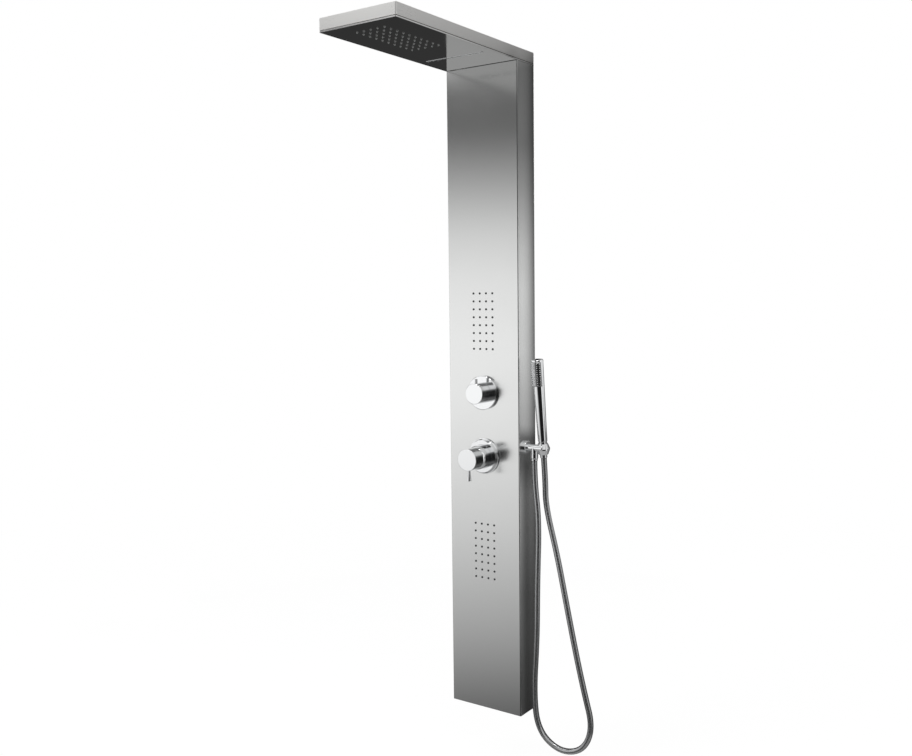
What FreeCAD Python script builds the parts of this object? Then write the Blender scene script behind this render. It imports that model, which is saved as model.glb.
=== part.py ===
import FreeCAD, Part
import math
import os
import re
import Sketcher

# Wall-hung shower column with an overhead rain head, two body-jet fields,
# a diverter, a single-lever mixer and a hand shower on a hose.
# Frame: X to the right, wall plane at y = 0 with the front facing -Y, Z up.
# The origin lies on the wall plane, at the middle of the upper bracket's two screw holes.
# A "rise" is a height above the column's foot; mount_rise is the origin's own rise.

DIMENSIONS = {
    "mount_rise": 1480.0,
    "panel_width": 200.0,
    "panel_depth": 77.5,
    "panel_height": 1560.0,
    "panel_sheet": 1.5,
    "wall_gap": 1.0,
    "back_lip": 12.0,
    "bend_radius": 2.5,
    "fold_gap": 0.3,
    "foot_recess": 1.0,
    "foot_flange": 14.0,
    "head_reach": 525.0,
    "head_height": 29.5,
    "head_sheet": 1.2,
    "head_shadow_base": 4.2,
    "head_corner": 2.0,
    "plate_sheet": 1.2,
    "plate_hem_height": 2.7,
    "plate_hem_width": 3.0,
    "plate_upstand": 16.0,
    "plate_cutout_half": 93.0,
    "plate_cutout_front": 74.5,
    "plate_cutout_back": 8.0,
    "stay_offset": 90.0,
    "stay_sheet": 3.0,
    "stay_reach": 262.0,
    "stay_drop": 120.0,
    "stay_leg_depth": 32.0,
    "stay_back": 20.0,
    "rain_pitch_across": 18.0,
    "rain_pitch_along": 20.5,
    "rain_first_row": 480.7,
    "rain_hole_radius": 2.6,
    "rain_chamber_half": 70.0,
    "rain_chamber_front": 505.0,
    "rain_chamber_back": 272.0,
    "chamber_top": 13.0,
    "chamber_wall": 1.5,
    "slot_half": 75.5,
    "slot_centre": 186.5,
    "slot_half_height": 2.2,
    "spout_wall": 1.2,
    "spout_drop": 0.8,
    "fall_chamber_half": 84.0,
    "fall_chamber_front": 205.0,
    "fall_chamber_back": 168.0,
    "jet_pitch_across": 18.0,
    "jet_pitch_up": 19.1,
    "jet_hole_radius": 2.2,
    "upper_jet_rise": 891.6,
    "lower_jet_rise": 328.8,
    "manifold_half": 38.0,
    "manifold_margin": 20.0,
    "manifold_depth": 19.7,
    "manifold_wall": 2.0,
    "diverter_rise": 786.0,
    "mixer_rise": 631.3,
    "control_hole_radius": 24.5,
    "diverter_escutcheon_radius": 41.5,
    "diverter_escutcheon_front": 7.8,
    "diverter_knob_radius": 24.75,
    "diverter_knob_front": 42.7,
    "diverter_pin_out": 33.0,
    "diverter_pin_radius": 3.5,
    "diverter_pin_reach": 35.5,
    "mixer_escutcheon_radius": 43.6,
    "mixer_knob_radius": 26.15,
    "mixer_knob_front": 75.1,
    "mixer_dome_radius": 29.0,
    "mixer_dome_out": 30.0,
    "mixer_dome_mouth": 17.0,
    "mixer_dome_wall": 2.0,
    "mixer_dome_gap": 0.35,
    "lever_out": 66.0,
    "lever_root_radius": 3.0,
    "lever_tip_radius": 5.2,
    "lever_reach": 51.5,
    "pipe_radius": 5.0,
    "pipe_wall": 1.0,
    "pipe_plane": 63.0,
    "riser_offset": 60.0,
    "inlet_offset": 38.0,
    "inlet_radius": 10.48,
    "inlet_bore": 7.5,
    "inlet_length": 16.0,
    "inlet_socket": 18.0,
    "inlet_collar": 3.0,
    "bracket_half": 70.0,
    "bracket_half_height": 16.0,
    "bracket_sheet": 3.0,
    "bracket_hole_half": 50.0,
    "bracket_hole_radius": 3.5,
    "lower_bracket_rise": 120.0,
    "arm_out": 49.0,
    "arm_rise": 657.0,
    "arm_radius": 8.2,
    "rosette_radius": 15.5,
    "rosette_thickness": 8.0,
    "outlet_offset": 124.6,
    "outlet_radius": 8.6,
    "outlet_face_rise": 643.6,
    "hose_start_rise": 626.5,
    "hose_radius": 7.0,
    "holder_offset": 143.5,
    "handset_foot_rise": 673.6,
    "handset_foot_out": 42.0,
    "handset_lean": 7.0,
    "handset_turn": 10.0,
    "handset_foot_radius": 11.2,
    "handset_top_radius": 14.1,
    "handset_length": 193.0,
    "handset_cap_height": 4.2,
    "handset_wall": 2.0,
    "spray_half_angle": 48.0,
    "spray_radius": 17.8,
    "spray_back": 10.6,
    "spray_low": 135.5,
    "spray_high": 192.9,
    "cone_top_radius": 10.2,
    "cone_low_radius": 8.5,
    "cone_length": 40.0,
    "cone_gap": 0.3,
    "ring_ridge_radius": 16.2,
    "ring_end_radius": 11.8,
    "ring_half_height": 13.0,
    "ring_slot_half": 7.6,
    "ring_slot_turn": 112.0,
    "ring_drop": 18.5,
    "ring_band_half": 1.5,
    "arm_past_holder": 6.5,
    "strap_lower_rise": 1130.0,
    "strap_upper_rise": 1330.0,
}

doc = FreeCAD.newDocument("shower_column")
sheet = doc.addObject("Spreadsheet::Sheet", "Dims")
for row, (alias, value) in enumerate(DIMENSIONS.items(), start=1):
    sheet.set("A%d" % row, alias)
    sheet.set("B%d" % row, repr(value))
    sheet.setAlias("B%d" % row, alias)
doc.recompute()


def size(alias):
    return float(sheet.get(alias))


def formula(text):
    """Turn aliases in a formula into references to the spreadsheet."""
    return re.sub(r"[a-z][a-z_]+", lambda m: "Dims." + m.group(0) if m.group(0) in DIMENSIONS else m.group(0), text)


def worked(text):
    """The plain value of a formula, for geometry made in code."""
    return float(sheet.evalExpression(formula(text)))


def bind(item, prop, text):
    item.setExpression(prop, formula(str(text)))


def place(item, x="0", y="0", z="0"):
    bind(item, "Placement.Base.x", x)
    bind(item, "Placement.Base.y", y)
    bind(item, "Placement.Base.z", z)


def turn(item, axis, angle):
    item.Placement.Rotation = FreeCAD.Rotation(FreeCAD.Vector(*axis), angle)


def box(name, length, width, height, x, y, z):
    """A box from its three sizes and its lowest corner."""
    item = doc.addObject("Part::Box", name)
    bind(item, "Length", length)
    bind(item, "Width", width)
    bind(item, "Height", height)
    place(item, x, y, z)
    return item


AXIS_TURNS = {
    "+Z": ((0, 0, 1), 0),
    "-Z": ((1, 0, 0), 180),
    "+X": ((0, 1, 0), 90),
    "-X": ((0, 1, 0), -90),
    "-Y": ((1, 0, 0), 90),
    "+Y": ((1, 0, 0), -90),
}


def cylinder(name, radius, height, x, y, z, along="+Z"):
    """A cylinder from the centre of its first end, running along a row axis."""
    item = doc.addObject("Part::Cylinder", name)
    bind(item, "Radius", radius)
    bind(item, "Height", height)
    turn(item, *AXIS_TURNS[along])
    place(item, x, y, z)
    return item


def cone(name, first, last, height, x, y, z, along="+Z"):
    item = doc.addObject("Part::Cone", name)
    bind(item, "Radius1", first)
    bind(item, "Radius2", last)
    bind(item, "Height", height)
    turn(item, *AXIS_TURNS[along])
    place(item, x, y, z)
    return item


def sphere(name, radius, x, y, z):
    item = doc.addObject("Part::Sphere", name)
    bind(item, "Radius", radius)
    place(item, x, y, z)
    return item


def fuse(name, pieces):
    item = doc.addObject("Part::MultiFuse", name)
    item.Shapes = pieces
    item.Refine = True
    return item


def cut(name, base, tools):
    """The base less every tool."""
    item = doc.addObject("Part::Cut", name)
    item.Base = base
    item.Tool = tools[0] if len(tools) == 1 else fuse(name + "_tools", tools)
    item.Refine = True
    return item


def rounded(name, base, radius, picks):
    """Fillet the base's edges for which picks(edge) is true."""
    doc.recompute()
    item = doc.addObject("Part::Fillet", name)
    item.Base = base
    item.Edges = [(i + 1, radius, radius) for i, edge in enumerate(base.Shape.Edges) if picks(edge)]
    doc.recompute()
    return item


def made(name, shape, placement=None):
    """A piece whose shape is worked out in code from the sheet, then set in its place."""
    item = doc.addObject("Part::Feature", name)
    item.Shape = shape
    if placement:
        item.Placement = placement
    return item


def origin_plane(body, role):
    return [f for f in body.Origin.OriginFeatures if f.Role == role][0]


def outline(body, role, name, corners):
    """A closed straight-sided sketch whose corners are bound to the sheet."""
    sketch = body.newObject("Sketcher::SketchObject", name)
    sketch.AttachmentSupport = [(origin_plane(body, role), "")]
    sketch.MapMode = "FlatFace"
    values = [(worked(a), worked(b)) for a, b in corners]
    count = len(corners)
    for i in range(count):
        a = values[i]
        b = values[(i + 1) % count]
        sketch.addGeometry(Part.LineSegment(FreeCAD.Vector(a[0], a[1], 0), FreeCAD.Vector(b[0], b[1], 0)))
    for i in range(count):
        sketch.addConstraint(Sketcher.Constraint("Coincident", i, 2, (i + 1) % count, 1))
    for i, (a, b) in enumerate(corners):
        for kind, text, value in (("DistanceX", a, values[i][0]), ("DistanceY", b, values[i][1])):
            index = sketch.addConstraint(Sketcher.Constraint(kind, -1, 1, i, 1, value))
            sketch.setExpression("Constraints[%d]" % index, formula(text))
    return sketch


def lathe(name, corners, x="0", y="0", z="0", tilt=None):
    """A solid of revolution. Corners are (radius, distance along the axis); the axis is local +Z."""
    body = doc.addObject("PartDesign::Body", name)
    sketch = outline(body, "XZ_Plane", name + "_outline", corners)
    spin = body.newObject("PartDesign::Revolution", name + "_turned")
    spin.Profile = sketch
    spin.ReferenceAxis = (sketch, ["V_Axis"])
    spin.Angle = 360.0
    body.Tip = spin
    if tilt:
        turn(body, *tilt)
    place(body, x, y, z)
    return body


OUTWARD = AXIS_TURNS["-Y"]
FRONT = "-panel_depth"
HEAD = "panel_height - mount_rise"
MIXER_Z = "mixer_rise - mount_rise"
DIVERTER_Z = "diverter_rise - mount_rise"
ARM_Z = "arm_rise - mount_rise"
NODES = []


def node(item, name):
    """Name a finished piece; its label is also its file name."""
    item.Label = name
    NODES.append(item)
    return item


# ---------------------------------------------------------------- column casing
def vertical(edge):
    tangent = edge.tangentAt(edge.FirstParameter)
    return abs(tangent.z) > 0.999 and len(edge.Vertexes) == 2


HALF = "panel_width / 2"
INNER = "panel_width / 2 - panel_sheet"
BACK = "-wall_gap"
casing_body = doc.addObject("PartDesign::Body", "casing_body")
casing_outline = outline(casing_body, "XY_Plane", "casing_outline", [
    ("-(%s)" % HALF, FRONT),
    (HALF, FRONT),
    (HALF, BACK),
    ("%s - back_lip" % HALF, BACK),
    ("%s - back_lip" % HALF, "-wall_gap - panel_sheet"),
    (INNER, "-wall_gap - panel_sheet"),
    (INNER, "panel_sheet - panel_depth"),
    ("-(%s)" % INNER, "panel_sheet - panel_depth"),
    ("-(%s)" % INNER, "-wall_gap - panel_sheet"),
    ("back_lip - %s" % HALF, "-wall_gap - panel_sheet"),
    ("back_lip - %s" % HALF, BACK),
    ("-(%s)" % HALF, BACK),
])
casing_pad = casing_body.newObject("PartDesign::Pad", "casing_pad")
casing_pad.Profile = casing_outline
bind(casing_pad, "Length", "panel_height - 0.8")
casing_body.Tip = casing_pad
doc.recompute()


def casing_bends():
    """Edge names of the four outer folds."""
    depths = (-size("panel_depth"), -size("wall_gap"))
    names = []
    for i, edge in enumerate(casing_pad.Shape.Edges, start=1):
        point = edge.Vertexes[0].Point
        on_side = abs(abs(point.x) - size("panel_width") / 2) < 0.01
        at_fold = min(abs(point.y - d) for d in depths) < 0.01
        if vertical(edge) and on_side and at_fold:
            names.append("Edge%d" % i)
    return names


outer_fold = casing_body.newObject("PartDesign::Fillet", "casing_outer_fold")
outer_fold.Base = (casing_pad, casing_bends())
bind(outer_fold, "Radius", "bend_radius")
casing_body.Tip = outer_fold
place(casing_body, "0", "0", "-mount_rise")
doc.recompute()


def jet_drills(name, rise):
    """One row of four holes through the front sheet, repeated up the field."""
    volume_before = casing_body.Tip.Shape.Volume
    row = casing_body.newObject("Sketcher::SketchObject", name + "_row")
    row.AttachmentSupport = [(origin_plane(casing_body, "XZ_Plane"), "")]
    row.MapMode = "FlatFace"
    for column in range(4):
        offset = "jet_pitch_across * %.1f" % (column - 1.5)
        row.addGeometry(Part.Circle(FreeCAD.Vector(worked(offset), worked(rise), 0), FreeCAD.Vector(0, 0, 1),
                                    size("jet_hole_radius")))
        index = row.addConstraint(Sketcher.Constraint("Radius", column, size("jet_hole_radius")))
        row.setExpression("Constraints[%d]" % index, formula("jet_hole_radius"))
        index = row.addConstraint(Sketcher.Constraint("DistanceX", -1, 1, column, 3, worked(offset)))
        row.setExpression("Constraints[%d]" % index, formula(offset))
        index = row.addConstraint(Sketcher.Constraint("DistanceY", -1, 1, column, 3, worked(rise)))
        row.setExpression("Constraints[%d]" % index, formula(rise))
    pocket = casing_body.newObject("PartDesign::Pocket", name + "_holes")
    pocket.Profile = row
    pocket.Type = 0
    pocket.Reversed = True
    bind(pocket, "Length", "panel_depth + 5")
    doc.recompute()
    if pocket.Shape.Volume > volume_before - 1:
        raise SystemExit(name + " cuts nothing")
    rows = casing_body.newObject("PartDesign::LinearPattern", name + "_field")
    rows.Originals = [pocket]
    rows.Direction = (row, ["V_Axis"])
    bind(rows, "Length", "jet_pitch_up * 7")
    rows.Occurrences = 8
    casing_body.Tip = rows
    doc.recompute()
    return rows


jet_drills("upper_drill", "upper_jet_rise")
jet_drills("lower_drill", "lower_jet_rise")
casing = cut("panel_casing", casing_body, [
    cylinder("diverter_hole", "control_hole_radius", "20", "0", "10 - panel_depth", DIVERTER_Z, "-Y"),
    cylinder("mixer_hole", "control_hole_radius", "20", "0", "10 - panel_depth", MIXER_Z, "-Y"),
    cylinder("arm_hole", "arm_radius + 0.5", "20", HALF + " - 10", "-arm_out", ARM_Z, "+X"),
])
node(casing, "panel_casing")

# ---------------------------------------------------------------- foot tray
FOOT_HALF = "panel_width / 2 - panel_sheet - fold_gap"
FOOT_DEPTH = "panel_depth - wall_gap - 2 * panel_sheet - 2 * fold_gap"
FOOT_Y = "panel_sheet + fold_gap - panel_depth"
foot_block = box("foot_block", "2 * (%s)" % FOOT_HALF, FOOT_DEPTH, "foot_flange",
                 "-(%s)" % FOOT_HALF, FOOT_Y, "foot_recess - mount_rise")
foot_hollow = box("foot_hollow", "2 * (%s - panel_sheet)" % FOOT_HALF, FOOT_DEPTH + " - 2 * panel_sheet",
                  "foot_flange", "panel_sheet - (%s)" % FOOT_HALF, FOOT_Y + " + panel_sheet",
                  "foot_recess + panel_sheet - mount_rise")
node(cut("panel_foot", foot_block, [foot_hollow]), "panel_foot")

# ---------------------------------------------------------------- overhead shell
SHELL_LENGTH = "head_reach - wall_gap"
SHELL_RISE = "head_height - head_shadow_base"
shell_block = box("shell_block", "panel_width", SHELL_LENGTH, SHELL_RISE, "-(%s)" % HALF, "-head_reach",
                  HEAD + " + head_shadow_base")
shell_round = rounded("shell_round", shell_block, size("head_corner"), vertical)
top_level = size("panel_height") - size("mount_rise") + size("head_height")
shell_soft = rounded("shell_soft", shell_round, 1.0,
                     lambda e: all(abs(v.Point.z - top_level) < 0.01 for v in e.Vertexes))
shell_hollow = box("shell_hollow", "panel_width - 2 * head_sheet", SHELL_LENGTH + " - 2 * head_sheet",
                   SHELL_RISE, "head_sheet - %s" % HALF, "head_sheet - head_reach",
                   HEAD + " + head_shadow_base - head_sheet")
node(cut("head_shell", shell_soft, [shell_hollow]), "head_shell")

# ---------------------------------------------------------------- polished underside plate
RAIN_COLUMNS = 5
RAIN_ROWS = 10


def rain_spots():
    """Centres of the rain nozzles, (x, y)."""
    across = size("rain_pitch_across")
    along = size("rain_pitch_along")
    first = -size("rain_first_row")
    middle = (RAIN_COLUMNS - 1) / 2
    return [((i - middle) * across, first + j * along) for j in range(RAIN_ROWS) for i in range(RAIN_COLUMNS)]


def drills(spots, radius, low, high):
    """Separate upright cylinders at the given spots."""
    return Part.makeCompound([
        Part.makeCylinder(radius, high - low, FreeCAD.Vector(x, y, low)) for x, y in spots
    ])


HEAD_LEVEL = size("panel_height") - size("mount_rise")
plate_block = box("plate_block", "panel_width", SHELL_LENGTH, "plate_hem_height", "-(%s)" % HALF,
                  "-head_reach", HEAD)
plate_round = rounded("plate_round", plate_block, size("head_corner"), vertical)
plate_top = box("plate_top", "panel_width - 2 * plate_hem_width", SHELL_LENGTH + " - 2 * plate_hem_width",
                "5", "plate_hem_width - %s" % HALF, "plate_hem_width - head_reach", HEAD + " + plate_sheet")
UP_IN = "plate_hem_width + plate_sheet"
UP_HALF = "panel_width / 2 - head_sheet - fold_gap"
upstand_block = box("upstand_block", "2 * (%s)" % UP_HALF,
                    SHELL_LENGTH + " - 2 * (head_sheet + fold_gap)", "plate_upstand - plate_sheet",
                    "-(%s)" % UP_HALF, "head_sheet + fold_gap - head_reach", HEAD + " + plate_sheet")
upstand_hollow = box("upstand_hollow", "2 * (%s - plate_sheet)" % UP_HALF,
                     SHELL_LENGTH + " - 2 * (head_sheet + fold_gap + plate_sheet)", "plate_upstand + 2",
                     "plate_sheet - (%s)" % UP_HALF, "head_sheet + fold_gap + plate_sheet - head_reach",
                     HEAD + " + plate_sheet - 1")
upstand = cut("upstand", upstand_block, [upstand_hollow])
plate_tray = cut("plate_tray", plate_round, [plate_top])
plate_whole = fuse("plate_whole", [plate_tray, upstand])
plate_cutout = box("plate_cutout", "2 * plate_cutout_half", "plate_cutout_front - plate_cutout_back", "20",
                   "-plate_cutout_half", "-plate_cutout_front", HEAD + " - 5")
plate_slot = box("plate_slot", "2 * (slot_half + spout_wall)", "2 * (slot_half_height + spout_wall)", "10",
                 "-(slot_half + spout_wall)", "-slot_centre - slot_half_height - spout_wall", HEAD + " - 5")
plate_drills = made("plate_drills", drills(rain_spots(), size("rain_hole_radius"), HEAD_LEVEL - 2, HEAD_LEVEL + 4))
node(cut("head_plate", plate_whole, [plate_cutout, plate_slot, plate_drills]), "head_plate")

# ---------------------------------------------------------------- stays between column and head
STAY_TOP = HEAD + " + head_height - head_sheet - 0.3"
stay_pieces = []
for side, sign in (("left", "-"), ("right", "")):
    x = "%sstay_offset - stay_sheet / 2" % sign
    arm = box("stay_arm_" + side, "stay_sheet", "stay_reach - stay_back", "24", x, "-stay_reach",
              STAY_TOP + " - 24")
    leg = box("stay_leg_" + side, "stay_sheet", "stay_leg_depth", "stay_drop + 24", x,
              "-stay_back - stay_leg_depth", STAY_TOP + " - 24 - stay_drop")
    stay_pieces += [arm, leg]
stay_bar = box("stay_bar", "2 * stay_offset", "stay_sheet", "30", "-stay_offset", "-stay_back - stay_sheet",
               HEAD + " - 60")
node(fuse("head_stays", stay_pieces + [stay_bar]), "head_stays")


# ---------------------------------------------------------------- water chambers in the head
def chamber(name, half, front, back, bosses, ports):
    """A lidded box on the plate, open underneath, with a port for its pipe."""
    floor = HEAD + " + plate_sheet"
    block = box(name + "_block", "2 * " + half, "%s - %s" % (front, back), "chamber_top - plate_sheet",
                "-" + half, "-" + front, floor)
    hollow = box(name + "_hollow", "2 * (%s - chamber_wall)" % half,
                 "%s - %s - 2 * chamber_wall" % (front, back), "chamber_top - plate_sheet",
                 "chamber_wall - " + half, "chamber_wall - " + front, floor + " - chamber_wall")
    outer = fuse(name + "_outer", [block] + bosses) if bosses else block
    return cut(name, outer, [hollow] + ports)


PIPE_LEVEL = HEAD + " + chamber_top + 7.5"
rain_boss = box("rain_boss", "18", "20", "14", "-riser_offset - 9", "-rain_chamber_back - 20",
                HEAD + " + chamber_top - 0.5")
rain_port = cylinder("rain_port", "pipe_radius - pipe_wall", "12", "-riser_offset", "1 - rain_chamber_back",
                     PIPE_LEVEL, "-Y")
rain_drop = cylinder("rain_drop", "pipe_radius - pipe_wall", "12", "-riser_offset", "-rain_chamber_back - 10",
                     HEAD + " + chamber_top + 7.5", "-Z")
node(chamber("rain_chamber", "rain_chamber_half", "rain_chamber_front", "rain_chamber_back", [rain_boss],
             [rain_port, rain_drop]), "rain_chamber")
FALL_LEVEL = HEAD + " + 7.1"
fall_port = cylinder("fall_port", "pipe_radius - pipe_wall", "5", "riser_offset", "1 - fall_chamber_back",
                     FALL_LEVEL, "-Y")
node(chamber("waterfall_chamber", "fall_chamber_half", "fall_chamber_front", "fall_chamber_back", [],
             [fall_port]), "waterfall_chamber")
spout_outer = box("spout_outer", "2 * (slot_half + spout_wall - 0.05)",
                  "2 * (slot_half_height + spout_wall - 0.05)", "spout_drop + plate_sheet + 3",
                  "-(slot_half + spout_wall - 0.05)", "-slot_centre - slot_half_height - spout_wall + 0.05",
                  HEAD + " - spout_drop")
spout_inner = box("spout_inner", "2 * slot_half", "2 * slot_half_height", "12", "-slot_half",
                  "-slot_centre - slot_half_height", HEAD + " - 4")
node(cut("waterfall_spout", spout_outer, [spout_inner]), "waterfall_spout")


# ---------------------------------------------------------------- nozzles
def turned(corners, base, direction):
    """A revolved solid in code: (radius, distance) corners about a direction from a base point."""
    points = [FreeCAD.Vector(r, 0, d) for r, d in corners]
    face = Part.Face(Part.makePolygon(points + [points[0]]))
    solid = face.revolve(FreeCAD.Vector(0, 0, 0), FreeCAD.Vector(0, 0, 1), 360)
    spin = FreeCAD.Rotation(FreeCAD.Vector(0, 0, 1), FreeCAD.Vector(*direction))
    solid.Placement = FreeCAD.Placement(FreeCAD.Vector(*base), spin)
    return solid


rain_r = size("rain_hole_radius")
sheet_up = size("plate_sheet")
RAIN_NOZZLE = [
    (0.6, 2.5), (1.3, 2.5), (2.3, 0.0), (rain_r - 0.05, 0.0), (rain_r - 0.05, -sheet_up - 0.05),
    (3.6, -sheet_up - 0.05), (3.6, -sheet_up - 1.0), (0.6, -sheet_up - 1.0),
]
node(made("rain_nozzles", Part.makeCompound([
    turned(RAIN_NOZZLE, (x, y, HEAD_LEVEL), (0, 0, -1)) for x, y in rain_spots()
])), "rain_nozzles")


def jet_spots(rise):
    across = size("jet_pitch_across")
    up = size("jet_pitch_up")
    low = size(rise) - size("mount_rise")
    return [((i - 1.5) * across, low + j * up) for j in range(8) for i in range(4)]


jet_r = size("jet_hole_radius")
JET_NOZZLE = [
    (0.8, 1.2), (1.7, 1.2), (2.6, 0.7), (2.6, 0.05), (jet_r - 0.05, 0.05), (jet_r - 0.05, -6.0), (0.8, -6.0),
]


def jet_field(field, rise):
    """The manifold behind the front sheet and the nozzles that screw into it."""
    low = "%s - manifold_margin - mount_rise" % rise
    tall = "jet_pitch_up * 7 + 2 * manifold_margin"
    front = "panel_sheet + 0.1 - panel_depth"
    block = box(field + "_manifold_block", "2 * manifold_half", "manifold_depth", tall, "-manifold_half", front,
                low)
    hollow = box(field + "_manifold_hollow", "2 * (manifold_half - manifold_wall)",
                 "manifold_depth - 2 * manifold_wall", tall + " - 2 * manifold_wall",
                 "manifold_wall - manifold_half", front + " + manifold_wall", low + " + manifold_wall")
    front_face = -size("panel_depth")
    seats = made(field + "_seats", Part.makeCompound([
        Part.makeCylinder(jet_r, 10, FreeCAD.Vector(x, front_face - 1, z), FreeCAD.Vector(0, 1, 0))
        for x, z in jet_spots(rise)
    ]))
    if field == "upper":
        port = cylinder("upper_port", "pipe_radius - pipe_wall", "6", "0", "-pipe_plane", low + " - 1", "+Z")
    else:
        port = cylinder("lower_port", "pipe_radius - pipe_wall", "6", "-manifold_half - 1", "-pipe_plane",
                        "lower_jet_rise + 100 - mount_rise", "+X")
    node(cut(field + "_jet_manifold", block, [hollow, seats, port]), field + "_jet_manifold")
    node(made(field + "_jet_nozzles", Part.makeCompound([
        turned(JET_NOZZLE, (x, front_face, z), (0, -1, 0)) for x, z in jet_spots(rise)
    ])), field + "_jet_nozzles")


jet_field("upper", "upper_jet_rise")
jet_field("lower", "lower_jet_rise")


# ---------------------------------------------------------------- diverter
# Distances "out" are measured forward from the column's front face.
def out(distance):
    return "-panel_depth - (%s)" % distance


def on_axis(name, radius, start, end, rise):
    """A cylinder on a control's axis from start to end, both measured out from the front face."""
    return cylinder(name, radius, "%s - (%s)" % (end, start), "0", out(start), rise, "-Y")


def grow(name, half_width, low, high, rise, offset="0", depth="pipe_plane"):
    """A vertical round boss on a valve body."""
    return cylinder(name, half_width, "%s - (%s)" % (high, low), offset, "-" + depth,
                    "%s + (%s)" % (rise, low), "+Z")


diverter_solid = fuse("diverter_solid", [
    on_axis("diverter_core", "23", "-46", "2", DIVERTER_Z),
    grow("diverter_foot", "9", "-34", "0", DIVERTER_Z),
    grow("diverter_crown", "9", "0", "34", DIVERTER_Z),
    cylinder("diverter_wings", "9", "64", "-32", "-pipe_plane", DIVERTER_Z + " + 12", "+X"),
    cylinder("diverter_left_low", "9", "32", "-32", "-pipe_plane", DIVERTER_Z + " - 12", "+X"),
    cylinder("diverter_right_low", "9", "32", "0", "-arm_out", DIVERTER_Z + " - 12", "+X"),
])
diverter_ports = [
    on_axis("diverter_seat", "16.05", "-30", "4", DIVERTER_Z),
    grow("diverter_foot_port", "pipe_radius", "-36", "-24", DIVERTER_Z),
    grow("diverter_crown_port", "pipe_radius", "24", "36", DIVERTER_Z),
    cylinder("diverter_rain_port", "pipe_radius", "8", "-34", "-pipe_plane", DIVERTER_Z + " + 12", "+X"),
    cylinder("diverter_fall_port", "pipe_radius", "8", "26", "-pipe_plane", DIVERTER_Z + " + 12", "+X"),
    cylinder("diverter_jet_port", "pipe_radius", "8", "-34", "-pipe_plane", DIVERTER_Z + " - 12", "+X"),
    cylinder("diverter_hand_port", "pipe_radius", "8", "26", "-arm_out", DIVERTER_Z + " - 12", "+X"),
]
node(cut("diverter_body", diverter_solid, diverter_ports), "diverter_body")
node(cut("diverter_cartridge", on_axis("diverter_barrel", "16", "-29.8", "4", DIVERTER_Z),
         [on_axis("diverter_barrel_bore", "4.55", "-20", "5", DIVERTER_Z)]), "diverter_cartridge")
node(lathe("diverter_nut", [("9", "4.1"), ("19.5", "4.1"), ("19.5", "6.4"), ("9", "6.4")],
           "0", FRONT, DIVERTER_Z, OUTWARD), "diverter_nut")
DE = "diverter_escutcheon_radius"
DE_FRONT = "diverter_escutcheon_front"
node(lathe("diverter_escutcheon", [
    (DE, "0.05"), (DE, DE_FRONT + " - 1.2"), (DE + " - 1", DE_FRONT + " - 0.2"), (DE + " - 1.6", DE_FRONT),
    ("20.2", DE_FRONT), ("20.2", DE_FRONT + " - 1.5"), (DE + " - 1.8", DE_FRONT + " - 1.5"), (DE + " - 1.8", "0.05"),
], "0", FRONT, DIVERTER_Z, OUTWARD), "diverter_escutcheon")
diverter_shaft = fuse("diverter_shaft", [
    on_axis("diverter_shaft_low", "4.5", "-18", "8", DIVERTER_Z),
    on_axis("diverter_shaft_top", "4", "8", "32", DIVERTER_Z),
])
node(diverter_shaft, "diverter_stem")
DK = "diverter_knob_radius"
DK_FRONT = "diverter_knob_front"
knob_turned = lathe("diverter_knob_turned", [
    ("4.03", "11"), ("4.03", DK_FRONT + " - 10.5"), ("0", DK_FRONT + " - 10.5"), ("0", DK_FRONT),
    (DK + " - 0.9", DK_FRONT), (DK, DK_FRONT + " - 0.9"), (DK, "8.3"), (DK + " - 2.5", "8.3"),
    (DK + " - 2.5", DK_FRONT + " - 12"), ("9", DK_FRONT + " - 12"), ("9", "11"),
], "0", FRONT, DIVERTER_Z, OUTWARD)
node(cut("diverter_knob", knob_turned, [
    cylinder("diverter_pin_seat", "diverter_pin_radius + 0.04", "20", "0", out("diverter_pin_out"),
             DIVERTER_Z + " + diverter_knob_radius - 5", "+Z"),
    cylinder("diverter_screw_seat", "2.04", "20", "0", out("22"), DIVERTER_Z + " - diverter_knob_radius - 2",
             "+Z"),
]), "diverter_knob")
pin_base = size("diverter_rise") - size("mount_rise")
node(rounded("diverter_pin", cylinder("diverter_pin_rod", "diverter_pin_radius",
                                      "diverter_pin_reach - diverter_knob_radius + 4.9", "0",
                                      out("diverter_pin_out"), DIVERTER_Z + " + diverter_knob_radius - 4.9", "+Z"),
             0.8, lambda e: e.CenterOfMass.z > pin_base + size("diverter_pin_reach") - 0.1), "diverter_pin")
node(cylinder("diverter_screw_rod", "2", "14.5", "0", out("22"), DIVERTER_Z + " - diverter_knob_radius + 0.5",
              "+Z"), "diverter_set_screw")

# ---------------------------------------------------------------- mixer
DOWN_AND_BACK = ((1, 0, 0), -135)
SLANT = math.sqrt(0.5)


def slanted(name, radius, start, end, x):
    """A cylinder on an inlet's axis, 45 degrees down towards the wall, between two distances from the elbow."""
    item = doc.addObject("Part::Cylinder", name)
    bind(item, "Radius", radius)
    bind(item, "Height", "%s - (%s)" % (end, start))
    turn(item, *DOWN_AND_BACK)
    place(item, x, "(%s) * %.8f - arm_out" % (start, SLANT), "%s - (%s) * %.8f" % (MIXER_Z, start, SLANT))
    return item


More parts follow.
